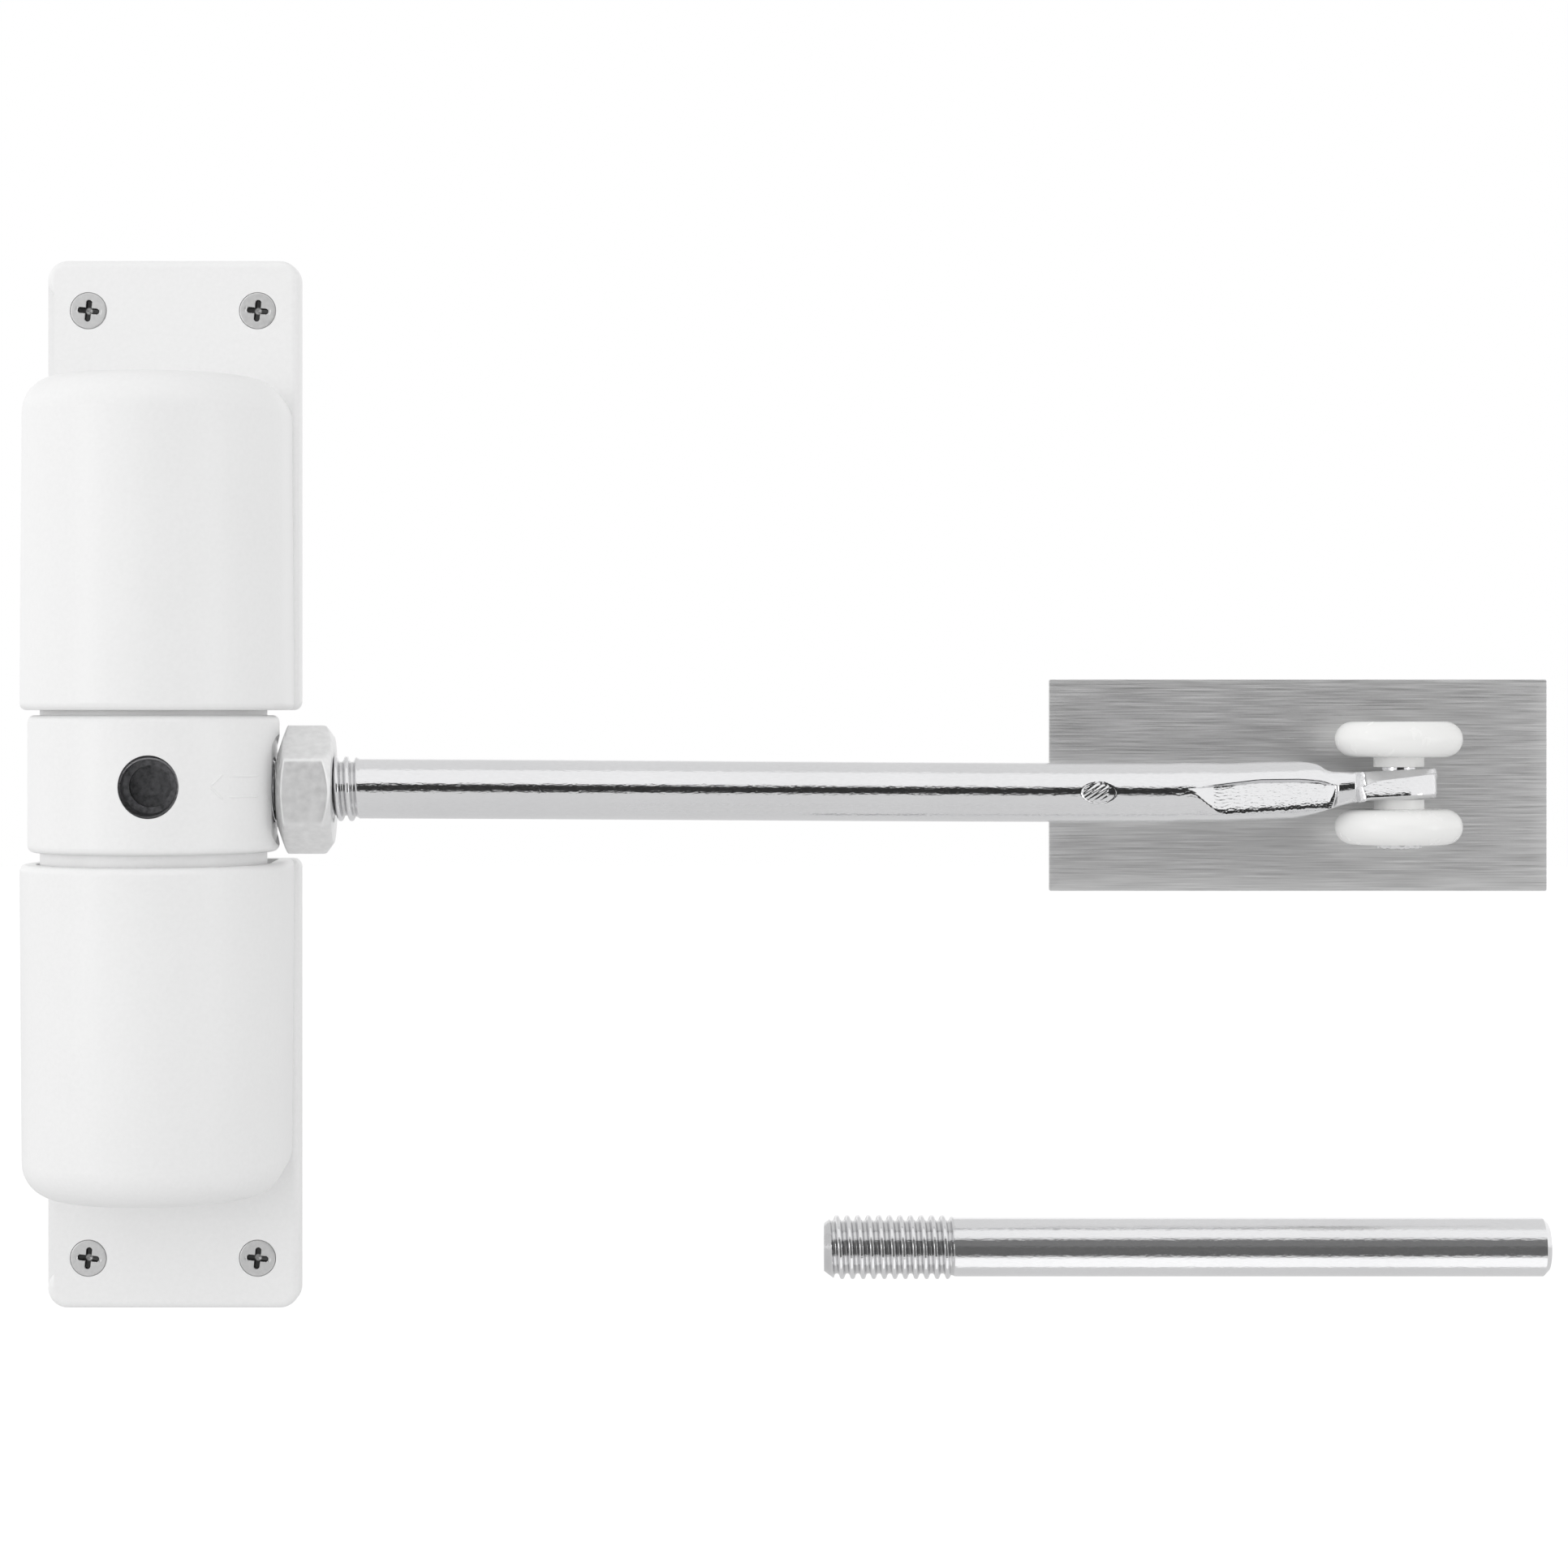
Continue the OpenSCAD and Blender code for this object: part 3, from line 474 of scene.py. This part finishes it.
# Adjusting bar
# The loose bar that winds the hub is drawn steel rod with bright zinc plate. One end has the
# same rolled right-hand thread as the arm, and both ends are chamfered.
rod_r = 4.375
thread_root_r, thread_r, pitch = 3.95, 4.77, 1.5875


def thread_radius(along, turn, start, end):
    """Radius of a rod with a right-hand thread between start and end: a wave of the distance in
    pitches less the turn, with flattened crests, fading to the plain radius beyond the end."""
    wave = np.cos(2 * np.pi * ((along - start) / pitch - turn / (2 * np.pi)))
    flat = 0.5 + 0.5 * np.tanh(1.7 * wave) / math.tanh(1.7)
    cut = thread_root_r + (thread_r - thread_root_r) * flat
    threaded = rod_r + (cut - rod_r) * (1 - ease(along, end - 0.9, end + 0.5))
    return np.minimum(threaded, 3.55 + (along - start) * 0.75)


bar_x, bar_y, bar_z, bar_long = 98.1, -4.77, -69.6, 108.9


def bar_points():
    """Rows of the thread, then of the plain rod with its chamfer; angles run from +Y to +Z."""
    turn = np.linspace(0, 2 * np.pi, 112, endpoint=False)[None, :]
    along = np.concatenate([np.linspace(0, 20.4, 290), np.linspace(21, 108, 30),
                            [108.08, 108.2, 108.5, 108.8, 108.88, 108.9]])[:, None]
    radius = thread_radius(along, turn, 0, 19.4)
    radius = np.minimum(radius, rod_r + np.maximum(0, 20.2 - along) * 5)
    radius = np.minimum(radius, 3.54 + (bar_long - along) * 1.05)
    return np.stack([bar_x + along + 0 * turn, bar_y + radius * np.cos(turn),
                     bar_z + radius * np.sin(turn)], axis=-1)


# Bright zinc takes painted shade from the mesh attribute, in the thread grooves of the bar and the
# arm.
bright_zinc = surface_finish("bright zinc", (0.82, 0.82, 0.83), 1, 0.11, (1200, 4000, 4000),
                             mottle=0.02, swing=0.03, bump=0.00002, cloudy=0.02, detail=2,
                             painted_shade="recess")
bar = make_piece("threaded_bar", [(bar_points(), "closed")], "base", bright_zinc,
                 ["adjusting_bar"]).data
# Painted shade in the bar's thread grooves, darker deeper in.
spots = spots_of(bar)
from_axis = np.hypot(spots[:, 1] - bar_y, spots[:, 2] - bar_z)
on_thread = (spots[:, 0] > bar_x + 0.1) * (spots[:, 0] < bar_x + 19.5)
painted_shade_spots(bar, 0.2 * ease(4.72 - from_axis, 0, 0.6) * on_thread)


# Hub collar
# The white collar between the housings is a zinc casting with two tapped holes. A plain arrow
# is cast on its front, and the right-hand thread shows in the open hole.
collar_r = 18.18


def raised_line(start, end):
    """A low half-round ridge on the collar, from one (angle in degrees, height) to another. It is
    an oval swept over the collar's cylinder."""
    share = np.linspace(0, 1, 20)[:, None]
    angle = np.radians(start[0] + (end[0] - start[0]) * share)
    height = start[1] + (end[1] - start[1]) * share
    turn = np.linspace(0, 2 * np.pi, 12, endpoint=False)[None, :]
    run = np.array([math.radians(end[0] - start[0]) * collar_r, end[1] - start[1]])
    run /= np.linalg.norm(run)
    slim = np.sqrt(np.clip(1 - (2 * share - 1) ** 10, 0.04, 1))
    aside = 0.2 * np.cos(turn) * slim
    radius = collar_r - 0.04 + 0.14 * np.sin(turn) * slim
    angle = angle - aside * run[1] / collar_r
    height = height + aside * run[0]
    return np.stack([radius * np.sin(angle), hub_y - radius * np.cos(angle), height], axis=-1)


dress(powder_coat, "hub_collar")
arrow = [((44.4, 1.75), (64.5, 1.75)), ((44.4, -1.2), (64.5, -1.2)),
         ((34.9, 0.28), (41.8, 2.1)), ((34.9, 0.28), (41.8, -1.55))]
make_piece("cast_arrow", [(raised_line(*line), "closed") for line in arrow], "swing_arm",
           powder_coat)


def hole_thread():
    """A lining on the wall of the open hole, from the core out to where it meets the collar's
    cylinder. Its inside is a wave of the distance in pitches less the turn, which fades where
    the mouth opens by 0.42 mm. The hole's axis stands 6.893 degrees round from -Y."""
    turn = np.linspace(0, 2 * np.pi, 120, endpoint=False)[None, :]
    share = np.concatenate([np.linspace(0, 1, 90), np.linspace(1, 0, 12)])[:, None]
    inside = np.arange(102)[:, None] < 90
    mouth = np.sqrt(collar_r ** 2 - (4.5 * np.cos(turn)) ** 2) - 0.03
    along = 11.7 + (mouth - 11.7) * share
    wall = 4.1 + 0.42 * np.clip((along - 17.21) / 0.97, 0, 1)
    wave = np.cos(2 * np.pi * (along / pitch + turn / (2 * np.pi)))
    crest = 0.2 * (0.5 + 0.5 * np.tanh(1.5 * wave)) * (1 - ease(along, 17.2, 18.0))
    radius = np.where(inside, wall - 0.03 - crest, wall + 0.15)
    way = math.radians(6.8926)
    aside = radius * np.cos(turn)
    return np.stack([along * math.sin(way) + aside * math.cos(way),
                     hub_y - along * math.cos(way) + aside * math.sin(way),
                     0.3 + radius * np.sin(turn)], axis=-1)


# Drive core and bushings
# The core that carries the springs is a dark phosphated steel barrel, seen at the bottom of the
# open hole. Sintered bronze bushings in its ends run on the shaft.
dark_steel = surface_finish("dark phosphate", (0.24, 0.24, 0.25), 0.9, 0.5, (1500, 1500, 1500),
                            mottle=0.5, swing=0.1, bump=0.00002, cloudy=0.15, detail=5)
bushing_bronze = surface_finish("sintered bronze", (0.66, 0.5, 0.28), 1, 0.38, (2200, 2200, 2200),
                                mottle=0.12, swing=0.08, bump=0.000006)
dress(dark_steel, "drive_core")
dress(bushing_bronze, "upper_bushing", "lower_bushing")
make_piece("open_hole_thread", [(hole_thread(), "ring")], "swing_arm", turned_steel)


# Arm
# The arm is drawn steel rod with bright zinc plate, threaded at the hub and forged hot at the
# other end: first flattened on the front, then necked and spread into a tongue for the rollers.
arm_tilt = math.radians(2.7926)
arm_reach = 183.7


def on_arm(across_x, across_y, height):
    """Points drawn along the arm, across it and up, turned about the hub axis into the frame."""
    return np.stack([across_x * math.cos(arm_tilt) - across_y * math.sin(arm_tilt),
                     hub_y + across_x * math.sin(arm_tilt) + across_y * math.cos(arm_tilt),
                     height + 0 * across_x], axis=-1)


def soft_least(limits, hardness):
    """Smooth least of several radii: the power mean with a large negative power."""
    return sum(np.asarray(limit, float) ** -hardness for limit in limits) ** (-1 / hardness)


def along_table(along, *pairs):
    """Straight lines between (distance, value) pairs, with their corners averaged over 0.8 mm."""
    places, values = np.array(pairs).T
    return sum(np.interp(along + shift, places, values) for shift in (-0.4, -0.2, 0, 0.2, 0.4)) / 5


def arm_points():
    """Sections along the arm as radii about its centre line, in directions that follow the forged
    edges. The rod is a circle. At the forged end it is cut by planes: top, bottom, back, a
    pressed face that leans back by 14 degrees up to a ledge, a narrow upright edge below it and
    a bevel at 50 degrees under that. A plane's limit is its distance divided by the cosine to
    its direction, and the radius is the smooth least of the limits. Sines make the hammer marks."""
    lean, under, upper = math.radians(14), math.radians(50), math.radians(35)
    along = np.concatenate([[8.733, 8.9, 11.6, 11.73], np.linspace(11.74, 26, 110),
                            np.linspace(26.1, 31, 70), np.linspace(31.5, 135.4, 24),
                            np.linspace(135.6, 142.2, 56), np.linspace(143, 147, 4),
                            np.linspace(147.5, 183.6, 290),
                            arm_reach + 5.6 * np.sin(np.linspace(0.02, 1, 22) * np.pi / 2)])[:, None]
    sag = -0.25 - 0.75 * ease(along, 5, 155)
    top = along_table(along, (152, 3.75), (158, 3.5), (162.7, 3.75), (168.6, 3.7), (170, 3.5),
                      (171.2, 3.2), (172.5, 2.3), (173.6, 2.1), (176.8, 2.1), (187.7, 2.58),
                      (190, 2.6))
    bottom = along_table(along, (152, -5.5), (158.2, -5.33), (163, -5.21), (167.8, -4.94),
                         (169.8, -4.45), (171.4, -3.95), (173, -3.4), (174.8, -2.85), (178, -2.2),
                         (187.7, -1.84), (190, -1.84))
    forged = ease(along, 149, 151.5)
    middle = sag * (1 - forged) + (top + bottom) / 2 * forged
    second = ease(along, 176.3, 177.9)
    first = ease(along, 152.5, 158) * (1 - ease(along, 172.3, 174))
    neck = ease(along, 171.9, 174.4) * (1 - second)
    wide = 4.07 + 1.53 * second
    round_end = np.sqrt(np.maximum(0.01, 5.6 ** 2 - (along - arm_reach) ** 2))
    wide = np.where(along > arm_reach, round_end, wide)
    edge = along_table(along, (150, 4.6), (156, 4.32), (171.5, 4.25), (174, 4.5))
    edge = np.where(along < 175, edge, wide + 0.4 * (1 - second))
    uneven = 0.05 * np.sin(2.9 * along) + 0.04 * np.sin(7.1 * along + 1) + 0.03 * np.sin(13.7 * along)
    step_z = along_table(along, (150, -3.85), (155.9, -3.78), (165.5, -3.2), (173.2, -2.7),
                         (176, -2.0), (178, -1.62), (187.7, -1.12), (190, -1.1)) + uneven * first
    ledge_z = along_table(along, (150, -0.4), (155.5, 0.0), (162, 0.75), (168, 0.82),
                          (171.2, 0.62), (172.6, 0.2), (174, 0), (176.4, -0.25), (179.8, 0.95),
                          (187.7, 1.92), (190, 1.95))
    thick = 0.5 - 0.35 * second
    inner = np.maximum(edge, 2)
    ledge = np.arctan2(ledge_z - middle, np.maximum(inner - 0.3, 2))
    stops = [np.arctan2(step_z - thick - middle, inner), np.arctan2(step_z - middle, inner),
             ledge - 0.02, ledge + 0.06, 1.05 + 0 * along]
    stops.append(stops[0] + 2 * np.pi)
    rise = np.concatenate([low + (high - low) * np.arange(count) / count for low, high, count
                           in zip(stops, stops[1:], (8, 56, 6, 24, 66))], axis=1)
    turn = np.pi - rise
    front = np.cos(rise)
    rod = thread_radius(along, turn, 11.726, 29.8)
    rod = np.where(along < 11.735, 2.793 - 0.2 * (along < 8.8), rod)
    over = ease(rise, ledge - 0.02, ledge + 0.06)
    narrow = np.minimum(1, edge / 4)
    face = edge * math.cos(lean) + (step_z - middle) * narrow * math.sin(lean) + neck
    face = face + 0.85 * (1 - ease(along, 149.5, 157))
    bevel = edge * math.cos(under) + (middle - step_z + thick) * math.sin(under)
    bevel = bevel + 1.2 * ease(along, 171, 173.4) * (1 - second)
    lip = (face - (ledge_z - middle) * narrow * math.sin(lean)) / math.cos(lean) + 0.12
    brow = lip * math.cos(upper) + (ledge_z - middle) * math.sin(upper) + 6 * (1 - second)

    def limit(distance, direction):
        return np.minimum(distance / np.maximum(np.cos(rise - direction), 0.02), 40)

    body = rod_r - 0.3 * ease(along, 171, 174) + 3.5 * second
    body = body + 1.3 * first * (1 - over) * ease(front, 0.1, 0.4)
    back = np.where(along > 173, wide, 6)
    radius = soft_least([body, limit(top - middle, np.pi / 2), limit(middle - bottom, -np.pi / 2),
                         limit(back, np.pi)], 30)
    radius = soft_least([radius, limit(face, lean) + 8 * over, limit(edge, 0), limit(bevel, -under),
                         limit(brow, upper)], 90)
    radius = rod * (1 - forged) + radius * forged
    level_z = radius * np.sin(rise)
    low = 1 - ease(middle + level_z, step_z + 0.2, step_z + 1.5)
    scales = np.sin(6.3 * along + 2 * np.sin(9 * level_z))
    scales = scales * np.sin(8 * level_z + 1.5 * np.sin(4.1 * along))
    radius = radius + 0.011 * scales * first * low * (front > 0)
    drawn = ease(along, 148, 151) * (1 - ease(along, 156, 160.5)) * (1 - over) * (front > 0.6)
    radius = radius + 0.006 * drawn * np.sin(12.5 * level_z + 1.7 * np.sin(2.1 * along))
    seam = np.exp(-((along - 166.4) / 0.12) ** 2)
    radius = radius - 0.03 * first * seam * (1 - over) * (front > 0)
    oval = np.hypot((along - 138.35) / 2.7, level_z / 1.65)
    inside = (1 - ease(oval, 0.86, 1.0)) * (front > 0)
    hatch = np.abs(((0.55 * along - 0.84 * level_z) / 0.55) % 1 - 0.5) * 2
    left = 1 - ease(along, 139.55, 139.75)
    radius = radius - inside * (0.08 + left * (0.04 + 0.06 * hatch))
    return on_arm(along + 0 * turn, radius * np.cos(turn), middle + level_z)


arm = make_piece("forged_arm", [(arm_points(), "closed")], "swing_arm",
                 bright_zinc, ["arm_rod"]).data
# Painted shade in the arm's thread grooves, darker deeper in.
spots = spots_of(arm)
spots[:, 1] -= hub_y
along = spots[:, 0] * math.cos(arm_tilt) + spots[:, 1] * math.sin(arm_tilt)
aside = spots[:, 1] * math.cos(arm_tilt) - spots[:, 0] * math.sin(arm_tilt)
from_axis = np.hypot(aside, spots[:, 2] + 0.28)
painted_shade_spots(arm, 0.2 * ease(4.7 - from_axis, 0, 0.6) * (along < 29.6))


# Lock nut
# A steel hexagon nut with satin zinc plate locks the arm against the collar's flat seat. Its
# corners are turned off at both faces.
def nut_points():
    """A ring: along the bore, out over the near face, along the six flats and back in. Outside,
    the radius is the smooth least of the six flats', of a shallow cone that rises from the near
    face and of the far face's chamfer."""
    turn = np.linspace(0, 2 * np.pi, 216, endpoint=False)[None, :]
    flats = [8.25 / np.maximum(np.cos(turn - math.radians(1.5 + 60 * k)), 0.05) for k in range(6)]
    hexagon = soft_least(flats, 60)
    near = np.array([5.0, 5.3, 5.55])[:, None]
    far = np.array([7.7, 7.3, 6.2, 5.0])[:, None]
    outside = np.concatenate([np.linspace(0, 1.5, 20), np.linspace(1.7, 6.8, 16),
                              np.linspace(6.9, 8.1, 16)])[:, None]
    limits = [hexagon + 0 * outside, 5.6 + outside / 0.35 + 0 * turn,
              7.8 + (8.1 - outside) / 0.7 + 0 * turn]
    rim = soft_least(limits, 60)
    radius = np.concatenate([np.full((6, 216), 4.86), near + 0 * turn, rim, far + 0 * turn])
    bore = np.linspace(8.0, 0.1, 6)[:, None]
    along = np.concatenate([bore, 0 * near, outside, 8.1 + 0 * far])
    return on_arm(18.1 + along + 0 * turn, radius * np.cos(turn), -0.45 + radius * np.sin(turn))


make_piece("hexagon_nut", [(nut_points(), "ring")], "swing_arm", satin_zinc,
           ["lock_nut"])


# Roller pin
# A bright steel pin holds the rollers on the tongue. Its upper head is sunk in the roller, and
# its lower end is hammered over in a few blows, which leaves a bumpy rivet.
def lathe(profile, columns=128):
    """Turns a profile of (radius, height above the tongue's middle) about the pin's axis."""
    profile = np.array(profile)
    turn = np.linspace(0, 2 * np.pi, columns, endpoint=False)[None, :]
    radius = profile[:, :1]
    return on_arm(arm_reach + radius * np.cos(turn), radius * np.sin(turn),
                  0.37 + profile[:, 1:] + 0 * turn)


def rivet_pin():
    """The pin's profile turned, with the lower head's skin moved by a sum of three waves."""
    head = [(0.3, 9.07), (3.2, 9.07), (3.42, 9.0), (3.5, 8.85), (3.5, 8.15), (2.5, 8.07)]
    rivet = [(2.5, -9.2), (3.3, -9.24), (3.45, -9.4), (3.4, -9.6), (3.2, -9.74), (2.8, -9.8),
             (2.2, -9.84), (1.5, -9.86), (0.7, -9.87), (0.2, -9.87)]
    points = lathe(head + rivet)
    x, y = points[..., 0], points[..., 1]
    bumps = np.sin(2.9 * x + 0.7) * np.sin(3.3 * y) + 0.6 * np.sin(5.1 * x + 3 * y)
    low = points[..., 2] < -9.0
    points[..., 2] += np.where(low, 0.09 * (bumps + 1.6), 0)
    return points


make_piece("peened_pin", [(rivet_pin(), "closed")], "swing_arm", bright_zinc,
           ["roller_pin"])


# Rollers
# Two white nylon rollers are moulded with a fully rounded rim and a boss that spaces them from
# the tongue. The upper one is counterbored for the pin's head.
def roller_points(side):
    """Closed profile of a roller: bore, boss, inner face, a half circle of radius 2.6 for the
    rim, outer face, and above the counterbore for the pin's head."""
    arc = np.linspace(-np.pi / 2, np.pi / 2, 30)
    rim = [(6.8 + 2.6 * math.cos(a), 6.52 + 2.6 * math.sin(a)) for a in arc]
    inner = [(2.56, 2.45), (2.62, 2.38), (3.62, 2.37), (3.74, 2.42), (3.75, 2.55), (3.75, 3.6),
             (3.82, 3.82), (4.05, 3.92), (5.5, 3.92)]
    outer = [(5.5, 9.12), (3.9, 9.12), (3.75, 9.06), (3.7, 8.95), (3.7, 7.97), (2.56, 7.97)]
    if side < 0:
        outer = [(5.5, 9.12), (2.7, 9.12), (2.56, 9.0)]
    profile = np.array(inner + rim + outer)
    return lathe(profile * np.array([1, side]))


roller_nylon = surface_finish("white nylon", (0.9, 0.9, 0.89), 0, 0.26, (350, 350, 350),
                              mottle=0.008, swing=0.02, bump=0.000001, cloudy=0.008)
make_piece("upper_wheel_roller", [(roller_points(1), "ring")], "upper_wheel",
           roller_nylon, ["upper_roller"])
make_piece("lower_wheel_roller", [(roller_points(-1), "ring")], "lower_wheel",
           roller_nylon, ["lower_roller"])
